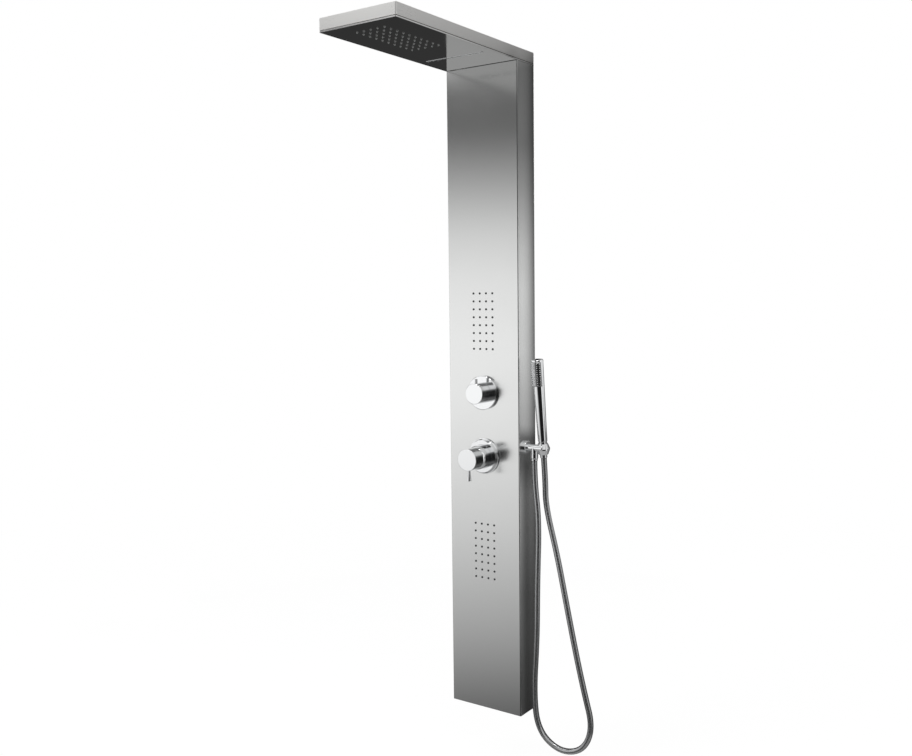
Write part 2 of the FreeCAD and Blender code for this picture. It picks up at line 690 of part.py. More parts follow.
mixer_solid = fuse("mixer_solid", [
    on_axis("mixer_core", "24", "-50", "8", MIXER_Z),
    cylinder("mixer_wings", "13", "2 * inlet_offset", "-inlet_offset", "-arm_out", MIXER_Z, "+X"),
    grow("mixer_crown", "9", "0", "34", MIXER_Z),
    sphere("hot_elbow", "13", "-inlet_offset", "-arm_out", MIXER_Z),
    sphere("cold_elbow", "13", "inlet_offset", "-arm_out", MIXER_Z),
    slanted("hot_socket", "13", "0", "inlet_socket", "-inlet_offset"),
    slanted("cold_socket", "13", "0", "inlet_socket", "inlet_offset"),
])
node(cut("mixer_body", mixer_solid, [
    on_axis("mixer_seat", "17.55", "-28", "9", MIXER_Z),
    grow("mixer_crown_port", "pipe_radius", "26", "36", MIXER_Z),
    slanted("hot_way", "inlet_bore", "0", "inlet_socket + 1", "-inlet_offset"),
    slanted("cold_way", "inlet_bore", "0", "inlet_socket + 1", "inlet_offset"),
]), "mixer_body")
COLLAR_END = "inlet_socket + inlet_collar"
for name, sign in (("hot_inlet", "-"), ("cold_inlet", "")):
    x = sign + "inlet_offset"
    tail = fuse(name + "_solid", [
        slanted(name + "_collar", "12.4", "inlet_socket + 0.02", COLLAR_END, x),
        slanted(name + "_thread", "inlet_radius", COLLAR_END, COLLAR_END + " + inlet_length", x),
    ])
    node(cut(name, tail, [slanted(name + "_bore", "inlet_bore", "inlet_socket - 1",
                                  COLLAR_END + " + inlet_length + 1", x)]), name)
node(on_axis("mixer_cartridge", "17.5", "-27.8", "9.5", MIXER_Z), "mixer_cartridge")
node(lathe("cartridge_nut", [("12.5", "9.6"), ("22.5", "9.6"), ("22.5", "13"), ("21.5", "14"), ("12.5", "14")],
           "0", FRONT, MIXER_Z, OUTWARD), "cartridge_nut")
MIXER_Y = "-panel_depth - mixer_dome_out"
ears = []
for side, low in (("left", "-9.6"), ("right", "6.4")):
    plate = box("ear_plate_" + side, "3.2", "mixer_dome_out - 14", "10", low, MIXER_Y, MIXER_Z + " - 5")
    tip = cylinder("ear_tip_" + side, "5", "3.2", low, MIXER_Y, MIXER_Z, "+X")
    ears += [plate, tip]
carrier_disc = on_axis("carrier_disc", "12", "9.9", "17", MIXER_Z)
node(cut("mixer_carrier", fuse("carrier_solid", ears + [carrier_disc]), [
    cylinder("ear_bore", "2.05", "30", "-15", MIXER_Y, MIXER_Z, "+X")]), "mixer_carrier")
node(cut("mixer_spindle", on_axis("spindle_rod", "5", "24.5", "68", MIXER_Z), [
    cylinder("spindle_bore", "2.01", "30", "-15", MIXER_Y, MIXER_Z, "+X")]), "mixer_spindle")
node(cylinder("mixer_pivot_pin", "2", "20", "-10", MIXER_Y, MIXER_Z, "+X"), "mixer_pivot_pin")
dome_shell = fuse("dome_shell", [
    on_axis("dome_skirt", "mixer_dome_radius", "3", "mixer_dome_out", MIXER_Z),
    sphere("dome_ball", "mixer_dome_radius", "0", MIXER_Y, MIXER_Z),
])
DOME_IN = "mixer_dome_radius - mixer_dome_wall"
dome_hollow = fuse("dome_hollow", [
    on_axis("dome_skirt_hollow", DOME_IN, "-5", "mixer_dome_out", MIXER_Z),
    sphere("dome_ball_hollow", DOME_IN, "0", MIXER_Y, MIXER_Z),
])
node(cut("mixer_sleeve", dome_shell, [
    dome_hollow,
    on_axis("dome_mouth", "mixer_dome_mouth", "30", "70", MIXER_Z),
    on_axis("dome_trim", "40", "-12", "3", MIXER_Z),
]), "mixer_sleeve")
ME = "mixer_escutcheon_radius"
node(lathe("mixer_escutcheon", [
    (ME, "0.05"), (ME, "3"), (ME + " - 0.6", "3.6"), (ME + " - 1.8", "3.8"), (ME + " - 1.8", "4.8"),
    (ME + " - 4.2", "11.6"), (ME + " - 5", "12.2"), ("29.25", "12.2"), ("29.25", "10.6"),
    (ME + " - 5.8", "10.6"), (ME + " - 3.6", "4.6"), (ME + " - 3.6", "0.05"),
], "0", FRONT, MIXER_Z, OUTWARD), "mixer_escutcheon")
MK = "mixer_knob_radius"
mixer_knob_front = on_axis("mixer_knob_block", MK, "mixer_dome_out + 5", "mixer_knob_front", MIXER_Z)
knob_face = -size("panel_depth") - size("mixer_knob_front")
mixer_knob_soft = rounded("mixer_knob_soft", mixer_knob_front, 0.9,
                          lambda e: abs(e.CenterOfMass.y - knob_face) < 0.01)
node(cut("mixer_knob", mixer_knob_soft, [
    sphere("knob_hollow", "mixer_dome_radius + mixer_dome_gap", "0", MIXER_Y, MIXER_Z),
    on_axis("spindle_seat", "5.03", "50", "68.2", MIXER_Z),
    cylinder("lever_seat", "lever_root_radius + 0.04", "20", "0", out("lever_out"),
             MIXER_Z + " - mixer_knob_radius + 4", "-Z"),
    cylinder("knob_screw_seat", "2.04", "30", "0", out("64"), MIXER_Z + " + 5", "+Z"),
]), "mixer_knob")
lever_solid = fuse("lever_solid", [
    cylinder("lever_root", "lever_root_radius", "4.5", "0", out("lever_out"),
             MIXER_Z + " - mixer_knob_radius + 3.9", "-Z"),
    cone("lever_flare", "lever_root_radius", "lever_tip_radius", "lever_reach - mixer_knob_radius - 0.5", "0",
         out("lever_out"), MIXER_Z + " - mixer_knob_radius - 0.5", "-Z"),
])
lever_low = size("mixer_rise") - size("mount_rise") - size("lever_reach")
node(rounded("mixer_lever_pin", lever_solid, 0.6, lambda e: abs(e.CenterOfMass.z - lever_low) < 0.05),
     "mixer_lever_pin")
node(cylinder("mixer_screw_rod", "2", "18", "0", out("64"), MIXER_Z + " + 6", "+Z"), "mixer_set_screw")


# ---------------------------------------------------------------- tubes
def route(points, radius_at):
    """A wire of straight runs joined by tangent arcs, its arc radii and its length."""
    points = [FreeCAD.Vector(*p) for p in points]
    edges = []
    radii = []
    start = points[0]
    for i in range(1, len(points) - 1):
        back = points[i - 1] - points[i]
        ahead = points[i + 1] - points[i]
        back_length = back.Length
        ahead_length = ahead.Length
        back.normalize()
        ahead.normalize()
        half_turn = (math.pi - back.getAngle(ahead)) / 2
        radius = radius_at(min(back_length, ahead_length), half_turn)
        setback = radius * math.tan(half_turn)
        first = points[i] + back * setback
        last = points[i] + ahead * setback
        middle_way = back + ahead
        middle_way.normalize()
        middle = points[i] + middle_way * (radius / math.cos(half_turn) - radius)
        edges.append(Part.LineSegment(start, first).toShape())
        edges.append(Part.Arc(first, middle, last).toShape())
        radii.append(radius)
        start = last
    edges.append(Part.LineSegment(start, points[-1]).toShape())
    wire = Part.Wire(edges)
    return wire, radii, wire.Length


def tube(wire, first, second, outer, bore):
    """Sweep a ring along the wire; the ring stands square to the first run."""
    along = FreeCAD.Vector(*second) - FreeCAD.Vector(*first)
    solid = None
    for radius in (outer, bore):
        if radius <= 0:
            continue
        ring = Part.Wire(Part.makeCircle(radius, FreeCAD.Vector(*first), along))
        swept = wire.makePipeShell([ring], True, False)
        solid = swept if solid is None else solid.cut(swept)
    return solid


pipe_r = size("pipe_radius") - 0.03
pipe_bore = size("pipe_radius") - size("pipe_wall")
plane = -size("pipe_plane")
riser = size("riser_offset")
mixer_z = size("mixer_rise") - size("mount_rise")
diverter_z = size("diverter_rise") - size("mount_rise")
arm_z = size("arm_rise") - size("mount_rise")
arm_y = -size("arm_out")
pipe_level = HEAD_LEVEL + size("chamber_top") + 7.5
fall_level = HEAD_LEVEL + 7.1
upper_low = size("upper_jet_rise") - size("manifold_margin") - size("mount_rise")
lower_port_z = size("lower_jet_rise") + 100 - size("mount_rise")
half = size("panel_width") / 2
PIPES = {
    "pipe_mixer_to_diverter": [(0, plane, mixer_z + 26.1), (0, plane, diverter_z - 24.1)],
    "pipe_rain": [
        (-26.1, plane, diverter_z + 12), (-riser, plane, diverter_z + 12), (-riser, plane, pipe_level),
        (-riser, -size("rain_chamber_back") + 0.05, pipe_level),
    ],
    "pipe_waterfall": [
        (26.1, plane, diverter_z + 12), (riser, plane, diverter_z + 12), (riser, plane, fall_level),
        (riser, -size("fall_chamber_back") + 0.05, fall_level),
    ],
    "pipe_upper_jets": [(0, plane, diverter_z + 24.1), (0, plane, upper_low - 0.05)],
    "pipe_lower_jets": [
        (-26.1, plane, diverter_z - 12), (-riser - 6, plane, diverter_z - 12), (-riser - 6, plane, lower_port_z),
        (-size("manifold_half") - 0.05, plane, lower_port_z),
    ],
    "pipe_hand_shower": [
        (26.1, arm_y, diverter_z - 12), (riser + 6, arm_y, diverter_z - 12), (riser + 6, arm_y, arm_z),
        (half - size("panel_sheet") - 6.1, arm_y, arm_z),
    ],
}
for name, points in PIPES.items():
    wire, radii, length = route(points, lambda run, half_turn: 13.0)
    solid = tube(wire, points[0], points[1], pipe_r, pipe_bore)
    node(made(name, solid), name)

straps = []
for strap in ("strap_lower_rise", "strap_upper_rise"):
    low = size(strap) - size("mount_rise")
    straps.append(Part.makeBox(2 * (half - size("panel_sheet") - 0.1), 2.0, 18.0,
                               FreeCAD.Vector(-half + size("panel_sheet") + 0.1, plane + size("pipe_radius") + 0.05,
                                              low)))
node(made("pipe_straps", Part.makeCompound(straps)), "pipe_straps")


# ---------------------------------------------------------------- wall brackets and hangers
def bracket(where, level):
    """A wall plate with a raised hook, and the casing's cross bar that hooks over it."""
    plate = box(where + "_plate", "2 * bracket_half", "bracket_sheet", "2 * bracket_half_height",
                "-bracket_half", "-bracket_sheet", level + " - bracket_half_height")
    shelf = box(where + "_shelf", "2 * bracket_half", "12", "bracket_sheet", "-bracket_half", "-12",
                level + " + bracket_half_height")
    hook = box(where + "_hook", "2 * bracket_half", "bracket_sheet", "15", "-bracket_half", "-12",
               level + " + bracket_half_height")
    holes = [
        cylinder(where + "_hole_left", "bracket_hole_radius", "10", "-bracket_hole_half", "2", level, "-Y"),
        cylinder(where + "_hole_right", "bracket_hole_radius", "10", "bracket_hole_half", "2", level, "-Y"),
    ]
    return cut(where + "_wall_bracket", fuse(where + "_bracket_solid", [plate, shelf, hook]), holes)


def hanger(where, level):
    wide = "2 * (panel_width / 2 - panel_sheet - 0.1)"
    left = "-(panel_width / 2 - panel_sheet - 0.1)"
    bar = box(where + "_bar", wide, "3", "50", left, "-18", level + " - 12")
    top = box(where + "_bar_top", "2 * bracket_half - 4", "12.4", "3", "2 - bracket_half", "-18",
              level + " + bracket_half_height + 15.3")
    lip = box(where + "_bar_lip", "2 * bracket_half - 4", "3", "14.6", "2 - bracket_half", "-8.6",
              level + " + bracket_half_height + 3.7")
    return fuse(where + "_hanger", [bar, top, lip])


LOWER_LEVEL = "lower_bracket_rise - mount_rise"
node(bracket("upper", "0"), "upper_wall_bracket")
node(hanger("upper", "0"), "upper_hanger")
node(bracket("lower", LOWER_LEVEL), "lower_wall_bracket")
node(hanger("lower", LOWER_LEVEL), "lower_hanger")

# ---------------------------------------------------------------- outlet arm and holder
node(cut("outlet_rosette", rounded(
    "rosette_soft", cylinder("rosette_disc", "rosette_radius", "rosette_thickness", HALF + " + 0.05",
                             "-arm_out", ARM_Z, "+X"),
    2.0, lambda e: e.CenterOfMass.x > half + size("rosette_thickness") - 0.5),
    [cylinder("rosette_bore", "arm_radius + 0.05", "20", HALF + " - 5", "-arm_out", ARM_Z, "+X")]),
    "outlet_rosette")

# The hand shower leans forward about its foot; everything on it shares this tilt.
lean = FreeCAD.Rotation(FreeCAD.Vector(1, 0, 0), size("handset_lean"))
foot = FreeCAD.Vector(size("holder_offset"), -size("handset_foot_out"),
                      size("handset_foot_rise") - size("mount_rise"))
LEAN = ((1, 0, 0), size("handset_lean"))
FOOT = ("holder_offset", "-handset_foot_out", "handset_foot_rise - mount_rise")


def up_the_axis(distance):
    return foot + lean.multVec(FreeCAD.Vector(0, 0, distance))


ring_mid = up_the_axis(-size("ring_drop"))
cone_slope = (size("cone_top_radius") - size("cone_low_radius")) / size("cone_length")
ring_h = size("ring_half_height")
band_h = size("ring_band_half")
ridge_r = size("ring_ridge_radius")
end_r = size("ring_end_radius")
seat_top = size("cone_top_radius") + cone_slope * (ring_h - size("ring_drop")) + size("cone_gap")
seat_low = size("cone_top_radius") - cone_slope * (ring_h + size("ring_drop")) + size("cone_gap")
ring_profile = [
    (seat_low, -ring_h), (end_r, -ring_h), (ridge_r, -band_h), (ridge_r, band_h), (end_r, ring_h), (seat_top, ring_h),
]
ring_solid = turned(ring_profile, (0, 0, 0), (0, 0, 1))
slot_half = size("ring_slot_half")
slot = Part.makeBox(30, 2 * slot_half, 60, FreeCAD.Vector(0, -slot_half, -30))
slot.rotate(FreeCAD.Vector(0, 0, 0), FreeCAD.Vector(0, 0, 1), size("ring_slot_turn"))
ring_solid = ring_solid.cut(slot)
ring_solid.Placement = FreeCAD.Placement(ring_mid, lean)

# The arm runs past the front of the holder ring, which is let into its side.
arm_start = half - 7.0
arm_end = size("holder_offset") + size("arm_past_holder")
arm_bar = Part.makeCylinder(size("arm_radius"), arm_end - arm_start, FreeCAD.Vector(arm_start, arm_y, arm_z),
                            FreeCAD.Vector(1, 0, 0))
arm_bar = arm_bar.makeFillet(3.0, [e for e in arm_bar.Edges if e.CenterOfMass.x > arm_end - 0.1 and e.Closed])
outlet_x = size("outlet_offset")
outlet_face = size("outlet_face_rise") - size("mount_rise")
boss = Part.makeCylinder(size("outlet_radius"), arm_z - outlet_face, FreeCAD.Vector(outlet_x, arm_y, outlet_face))
boss = boss.fuse(Part.makeCylinder(5.6, 10, FreeCAD.Vector(outlet_x, arm_y, outlet_face - 10)))
ring_envelope = Part.makeCylinder(end_r, 60, FreeCAD.Vector(0, 0, -30))
ring_envelope.Placement = FreeCAD.Placement(ring_mid, lean)
arm_solid = arm_bar.fuse(boss).cut(ring_envelope)
node(made("holder_ring", ring_solid.cut(arm_solid)), "holder_ring")
arm_way = Part.makeCylinder(3.2, outlet_x - arm_start - 1, FreeCAD.Vector(arm_start - 1, arm_y, arm_z),
                            FreeCAD.Vector(1, 0, 0))
arm_drop = Part.makeCylinder(3.2, arm_z - outlet_face + 12, FreeCAD.Vector(outlet_x, arm_y, outlet_face - 12))
node(made("outlet_arm", arm_solid.cut(arm_way).cut(arm_drop)), "outlet_arm")
hose_start = size("hose_start_rise") - size("mount_rise")
nut_tall = outlet_face - hose_start
nut_profile = [
    (5.7, nut_tall - 0.05), (9.0, nut_tall - 0.05), (9.0, 6.0), (7.8, 4.2), (7.8, 0.0), (3.5, 0.0), (3.5, 5.0),
    (5.7, 5.0),
]
outlet_nut = turned(nut_profile, (outlet_x, arm_y, hose_start), (0, 0, 1))
node(made("hose_nut_outlet", outlet_nut), "hose_nut_outlet")

# ---------------------------------------------------------------- hose
mount = size("mount_rise")
hose_end = up_the_axis(-size("cone_length"))
hose_lead = up_the_axis(-size("cone_length") - 56)
hose_top = (outlet_x, arm_y, hose_start)
HOSE_ROUTE = [
    hose_top,
    (outlet_x, arm_y, 576.0 - mount),
    (136.8, -49.6, 480.5 - mount),
    (131.7, -50.4, 329.7 - mount),
    (130.5, -50.8, 193.7 - mount),
    (120.9, -50.4, 55.3 - mount),
    (132.1, -50.8, -35.6 - mount),
    (191.6, -52.6, -74.3 - mount),
    (255.9, -53.4, -56.0 - mount),
    (281.8, -52.0, 5.6 - mount),
    (257.5, -49.6, 86.9 - mount),
    (233.2, -45.2, 174.8 - mount),
    (205.3, -40.4, 289.0 - mount),
    (178.6, -35.8, 401.6 - mount),
    (144.1, -30.0, 515.4 - mount),
    tuple(hose_lead),
    tuple(hose_end),
]
hose_wire, hose_radii, hose_length = route(HOSE_ROUTE, lambda run, half_turn: 0.45 * run / math.tan(half_turn))
hose_r = size("hose_radius")
hose_solid = tube(hose_wire, HOSE_ROUTE[0], HOSE_ROUTE[1], hose_r, 0)
node(made("hose", hose_solid), "hose")
expected = math.pi * hose_r ** 2 * hose_length
print("hose radii", [round(r) for r in hose_radii])
print("hose length %.1f volume %.0f section x length %.0f" % (hose_length, hose_solid.Volume, expected))

# ---------------------------------------------------------------- hand shower
nut_corners = [
    ("8.2", "0"), ("cone_top_radius", "0"), ("cone_low_radius", "-cone_length"), ("3.5", "-cone_length"),
    ("3.5", "-16"), ("8.2", "-16"),
]
node(lathe("hose_nut_handset", nut_corners, *FOOT, LEAN), "hose_nut_handset")
node(lathe("handset_inlet", [
    ("4", "-14"), ("7.9", "-14"), ("7.9", "0.35"), ("8.6", "0.35"), ("8.6", "14"), ("4", "14"),
], *FOOT, LEAN), "handset_inlet")
HF = "handset_foot_radius"
HT = "handset_top_radius"
HW = "handset_wall"
handle = lathe("handle_turned", [
    (HF + " - 0.4", "0.4"), (HF, "1"), (HT, "handset_length"), (HT + " - " + HW, "handset_length"),
    (HF + " - " + HW, "15"), ("8.65", "15"), ("8.65", "0.4"),
], *FOOT, LEAN)
turned_lean = lean.multiply(FreeCAD.Rotation(FreeCAD.Vector(0, 0, 1), size("handset_turn")))
on_handset = FreeCAD.Placement(foot, turned_lean)


def sector(corners, half_angle):
    """A part turn about the handle's axis, centred on its front, from (radius, height) corners."""
    start = math.radians(-90 - half_angle)
    points = [FreeCAD.Vector(r * math.cos(start), r * math.sin(start), z) for r, z in corners]
    face = Part.Face(Part.makePolygon(points + [points[0]]))
    return face.revolve(FreeCAD.Vector(0, 0, 0), FreeCAD.Vector(0, 0, 1), 2 * half_angle)


spray_angle = size("spray_half_angle")
spray_r = size("spray_radius")
spray_back = size("spray_back")
spray_low = size("spray_low")
spray_high = size("spray_high")
spray_tall = spray_high - spray_low
window = sector([(6, spray_low - 0.1), (25, spray_low - 0.1), (25, spray_high + 5), (6, spray_high + 5)],
                spray_angle + 0.4)
window_cut = made("spray_window", window, on_handset)
node(cut("handset_body", handle, [window_cut]), "handset_body")
cap_profile = [
    ("0", "handset_length + 0.05"), (HT + " + 0.3", "handset_length + 0.05"),
    (HT + " + 0.3", "handset_length + handset_cap_height - 1"),
    (HT + " - 0.7", "handset_length + handset_cap_height"), ("0", "handset_length + handset_cap_height"),
]
node(lathe("handset_cap", cap_profile, *FOOT, LEAN), "handset_cap")
pad = sector([
    (spray_back, spray_low), (spray_r - 1.2, spray_low), (spray_r, spray_low + 1.2), (spray_r, spray_high - 1.2),
    (spray_r - 1.2, spray_high), (spray_back, spray_high),
], spray_angle)
SPRAY_COLUMNS = 4
SPRAY_ROWS = 11
SPRAY_STEP = 23.5
SPRAY_MARGIN = 3.7


def outwards(angle):
    """The level direction at an angle from the hand shower's front."""
    return FreeCAD.Vector(math.sin(math.radians(angle)), -math.cos(math.radians(angle)), 0)


row_pitch = (spray_tall - 2 * SPRAY_MARGIN) / (SPRAY_ROWS - 1)
spray_holes = []
spray_tips = []
TIP = [(0.5, 1.1), (0.9, 1.1), (1.25, 0.2), (1.25, -2.9), (0.5, -2.9)]
for j in range(SPRAY_ROWS):
    level = FreeCAD.Vector(0, 0, spray_low + SPRAY_MARGIN + j * row_pitch)
    for i in range(SPRAY_COLUMNS):
        facing = outwards((i - (SPRAY_COLUMNS - 1) / 2) * SPRAY_STEP)
        spray_holes.append(Part.makeCylinder(1.35, 4, level + facing * (spray_r + 1), facing * -1))
        spray_tips.append(turned(TIP, level + facing * spray_r, facing))
node(made("handset_spray_plate", pad.cut(Part.makeCompound(spray_holes)), on_handset), "handset_spray_plate")
node(made("handset_nozzles", Part.makeCompound(spray_tips), on_handset), "handset_nozzles")

# ---------------------------------------------------------------- checks and export
doc.recompute()
problems = []
for item in doc.Objects:
    if "Invalid" in item.State or "Error" in item.State:
        problems.append("%s is %s" % (item.Name, item.State))
for item in NODES:
    shape = item.Shape
    if shape.isNull() or not shape.isValid() or not shape.Solids:
        problems.append("%s has a bad shape" % item.Label)
if problems:
    raise SystemExit("; ".join(problems))
os.makedirs("parts", exist_ok=True)
for item in NODES:
    item.Shape.exportStep("parts/%s.step" % item.Label)
print("%d pieces" % len(NODES))
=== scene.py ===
"""Looks for the wall-hung shower column: camera, finishes, hose and studio light.

Lengths are in metres in the part's own frame: x to the right, y into the wall, z up.
"""

import math

import bpy
import numpy as np
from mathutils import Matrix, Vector


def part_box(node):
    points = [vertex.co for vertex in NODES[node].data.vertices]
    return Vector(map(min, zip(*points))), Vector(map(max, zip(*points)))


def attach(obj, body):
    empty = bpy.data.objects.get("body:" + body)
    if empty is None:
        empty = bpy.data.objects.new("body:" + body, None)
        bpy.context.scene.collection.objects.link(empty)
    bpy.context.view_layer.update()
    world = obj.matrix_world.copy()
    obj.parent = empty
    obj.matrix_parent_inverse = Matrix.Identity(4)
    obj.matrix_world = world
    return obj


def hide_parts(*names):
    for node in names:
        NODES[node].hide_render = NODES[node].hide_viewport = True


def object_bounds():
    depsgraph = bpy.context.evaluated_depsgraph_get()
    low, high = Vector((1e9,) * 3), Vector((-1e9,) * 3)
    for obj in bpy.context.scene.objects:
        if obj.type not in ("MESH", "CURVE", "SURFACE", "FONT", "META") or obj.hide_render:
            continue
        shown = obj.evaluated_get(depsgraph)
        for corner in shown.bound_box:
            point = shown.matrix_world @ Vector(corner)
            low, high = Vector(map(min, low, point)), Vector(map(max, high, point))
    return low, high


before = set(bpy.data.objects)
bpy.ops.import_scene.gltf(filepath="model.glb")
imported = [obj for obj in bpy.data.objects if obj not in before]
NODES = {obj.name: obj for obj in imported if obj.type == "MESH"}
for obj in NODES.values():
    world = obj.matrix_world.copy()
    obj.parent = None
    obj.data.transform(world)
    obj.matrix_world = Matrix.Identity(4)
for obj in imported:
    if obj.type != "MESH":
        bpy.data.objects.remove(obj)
CAD_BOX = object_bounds()
MOUNT_RISE = 1.480  # from the column's foot up to the frame's zero height

# ---------------------------------------------------------------- camera
CAMERA_PLACE = (1.32087, -2.07790, -0.45935)
CAMERA_TURN = (85.2640, 0.6381, 34.9759)
CAMERA_LENS = 39.25

camera = bpy.data.objects.new("camera", bpy.data.cameras.new("camera"))
camera.data.sensor_width = 36.0
camera.data.lens = CAMERA_LENS
camera.location = CAMERA_PLACE
camera.rotation_euler = [math.radians(a) for a in CAMERA_TURN]
bpy.context.scene.collection.objects.link(camera)
bpy.context.scene.camera = camera


# ---------------------------------------------------------------- material helpers
CLOUD_SCALE = 9.0  # soft clouds in a metal, per metre
FINE_SCALE = 260.0
TURNED_SCALE = 3200.0
NOISE_RANGE = (0.3, 0.7)  # where most of a noise's values lie
SOIL_RANGE = (0.45, 0.7)
TILT_RANGE = (0.3, 0.7)
MARKS_SHARE, CLOUD_SHARE = 0.7, 0.3
BEVEL_SAMPLES = 4
WEAR_RADIUS = 0.0008
WEAR_ROUGHNESS = 0.06
WEAR_FACING = (0.80, 0.995)
RELIEF_DEPTH = 0.0002
UPRIGHT_FADE = 0.0002
PLASTIC_SCALE = 700.0
PLASTIC_CLOUD_SCALE = 18.0
PLASTIC_RELIEF = 0.08


def maths(tree, operation, first, second=0.0):
    node = tree.nodes.new("ShaderNodeMath")
    node.operation = operation
    for socket, value in zip(node.inputs, (first, second)):
        if isinstance(value, bpy.types.NodeSocket):
            tree.links.new(value, socket)
        else:
            socket.default_value = value
    return node.outputs[0]


class Finish:
    """One procedural material and short ways to add nodes to it."""

    def __init__(self, name):
        self.mat = bpy.data.materials.new(name)
        self.mat.use_nodes = True
        self.tree = self.mat.node_tree
        self.tree.nodes.clear()
        output = self.tree.nodes.new("ShaderNodeOutputMaterial")
        self.bsdf = self.tree.nodes.new("ShaderNodeBsdfPrincipled")
        self.link(self.bsdf.outputs["BSDF"], output.inputs["Surface"])
        self.place = self.tree.nodes.new("ShaderNodeTexCoord").outputs["Object"]

    def link(self, source, target):
        self.tree.links.new(source, target)

    def shade(self, source, name):
        self.link(source, self.bsdf.inputs[name])

    def add(self, kind, settings=None, **inputs):
        """A new node. Inputs go by name, with _ for a space, or by number, as i0 and i1."""
        node = self.tree.nodes.new("ShaderNode" + kind)
        for key, value in (settings or {}).items():
            setattr(node, key, value)
        for key, value in inputs.items():
            number = key[1:]
            socket = node.inputs[int(number) if number.isdigit() else key.replace("_", " ")]
            if isinstance(value, bpy.types.NodeSocket):
                self.link(value, socket)
            else:
                socket.default_value = value
        return node

    def set(self, **values):
        for key, value in values.items():
            self.bsdf.inputs[key.replace("_", " ")].default_value = value

    def noise(self, scale, detail=3.0, roughness=0.5, stretch=(1, 1, 1)):
        """Noise from 0 to 1 on the part's own coordinates; scale is in features per metre."""
        spread = self.add("Mapping", None, Vector=self.place,
                          Scale=tuple(scale * s for s in stretch))
        return self.add("TexNoise", None, Vector=spread.outputs[0], Scale=1.0, Detail=detail,
                        Roughness=roughness).outputs["Fac"]

    def span(self, value, low, high, start=0.0, end=1.0):
        """A value carried from start..end to low..high, and held there beyond."""
        return self.add("MapRange", {"clamp": True}, Value=value, From_Min=start, From_Max=end,
                        To_Min=low, To_Max=high).outputs["Result"]

    def maths(self, operation, first, second=0.0):
        return maths(self.tree, operation, first, second)

    def vector(self, operation, first, second=(0, 0, 0)):
        return self.add("VectorMath", {"operation": operation}, i0=first, i1=second)

    def normal(self):
        return self.add("NewGeometry").outputs["Normal"]

    def blend(self, factor, first, second):
        """A mix of two colours; the second may be a socket."""
        mix = self.add("Mix", {"data_type": "RGBA"}, i0=factor, i6=(*first, 1))
        if isinstance(second, bpy.types.NodeSocket):
            self.link(second, mix.inputs[7])
        else:
            mix.inputs[7].default_value = (*second, 1)
        return mix.outputs[2]

    def relief(self, height, strength, edge=0.0):
        """Bump from a height, over edges rounded by the given radius."""
        bump = self.add("Bump", None, Strength=strength, Distance=RELIEF_DEPTH, Height=height)
        if edge:
            soft = self.add("Bevel", {"samples": BEVEL_SAMPLES}, Radius=edge)
            self.link(soft.outputs[0], bump.inputs["Normal"])
        self.shade(bump.outputs[0], "Normal")

    def edge_wear(self):
        """1 along sharp edges, 0 on open faces."""
        soft = self.add("Bevel", {"samples": BEVEL_SAMPLES}, Radius=WEAR_RADIUS)
        aligned = self.vector("DOT_PRODUCT", soft.outputs[0], self.normal())
        return self.span(aligned.outputs["Value"], 1.0, 0.0, *WEAR_FACING)


def metal(name, dark, light, rough, grain=None, grain_scale=1.0, relief=0.05, edge=0.0,
          spin=None, anisotropic=0.0, tangent=None, smudge=0.04, upright=None, upright_top=0.0):
    """A metal finish. grain is the stretch of its brush marks, spin the centre of a turned finish.

    upright is the colour of the upright faces below the height upright_top, where they differ
    from the rest.
    """
    f = Finish(name)
    f.set(Metallic=1.0, Anisotropic=anisotropic)
    cloud = f.noise(CLOUD_SCALE, 2.0)
    if spin:
        arm = f.vector("SUBTRACT", f.place, spin)
        across = f.vector("CROSS_PRODUCT", arm.outputs[0], (0, 1, 0))
        reach = f.vector("LENGTH", across.outputs[0])
        marks = f.add("TexNoise", {"noise_dimensions": "1D"}, W=reach.outputs["Value"],
                      Scale=TURNED_SCALE, Detail=2.0).outputs["Fac"]
        f.shade(across.outputs[0], "Tangent")
    elif grain:
        marks = f.noise(grain_scale, 4.0, 0.6, grain)
    else:
        marks = f.noise(FINE_SCALE, 2.0)
    if tangent == "level":
        level = f.vector("CROSS_PRODUCT", f.normal(), (0, 0, 1))
        f.shade(level.outputs[0], "Tangent")
    elif tangent:
        steady = f.add("CombineXYZ", None, X=tangent[0], Y=tangent[1], Z=tangent[2])
        f.shade(steady.outputs[0], "Tangent")

    tone = f.maths("ADD", f.maths("MULTIPLY", f.span(marks, 0.0, 1.0, *NOISE_RANGE), MARKS_SHARE),
                   f.maths("MULTIPLY", cloud, CLOUD_SHARE))
    roughness = f.maths("ADD", f.span(marks, rough[0], rough[1], *NOISE_RANGE),
                        f.span(cloud, 0.0, smudge, *SOIL_RANGE))
    if edge:
        wear = f.edge_wear()
        tone = f.maths("MAXIMUM", tone, wear)
        roughness = f.maths("ADD", roughness, f.maths("MULTIPLY", wear, WEAR_ROUGHNESS))
    colour = f.blend(tone, dark, light)
    # Upright faces below upright_top take the upright colour; the other faces keep the base
    # colour, which in the head plate's finish is painted shade.
    if upright:
        facing = f.add("SeparateXYZ", None, i0=f.normal()).outputs["Z"]
        height = f.add("SeparateXYZ", None, i0=f.place).outputs["Z"]
        level = f.span(f.maths("ABSOLUTE", facing), 0.0, 1.0, *TILT_RANGE)
        above = f.span(height, 0.0, 1.0, upright_top, upright_top + UPRIGHT_FADE)
        colour = f.blend(f.maths("MAXIMUM", level, above), upright, colour)
    f.shade(colour, "Base Color")
    f.shade(roughness, "Roughness")
    f.relief(marks, relief, edge)
    return f.mat


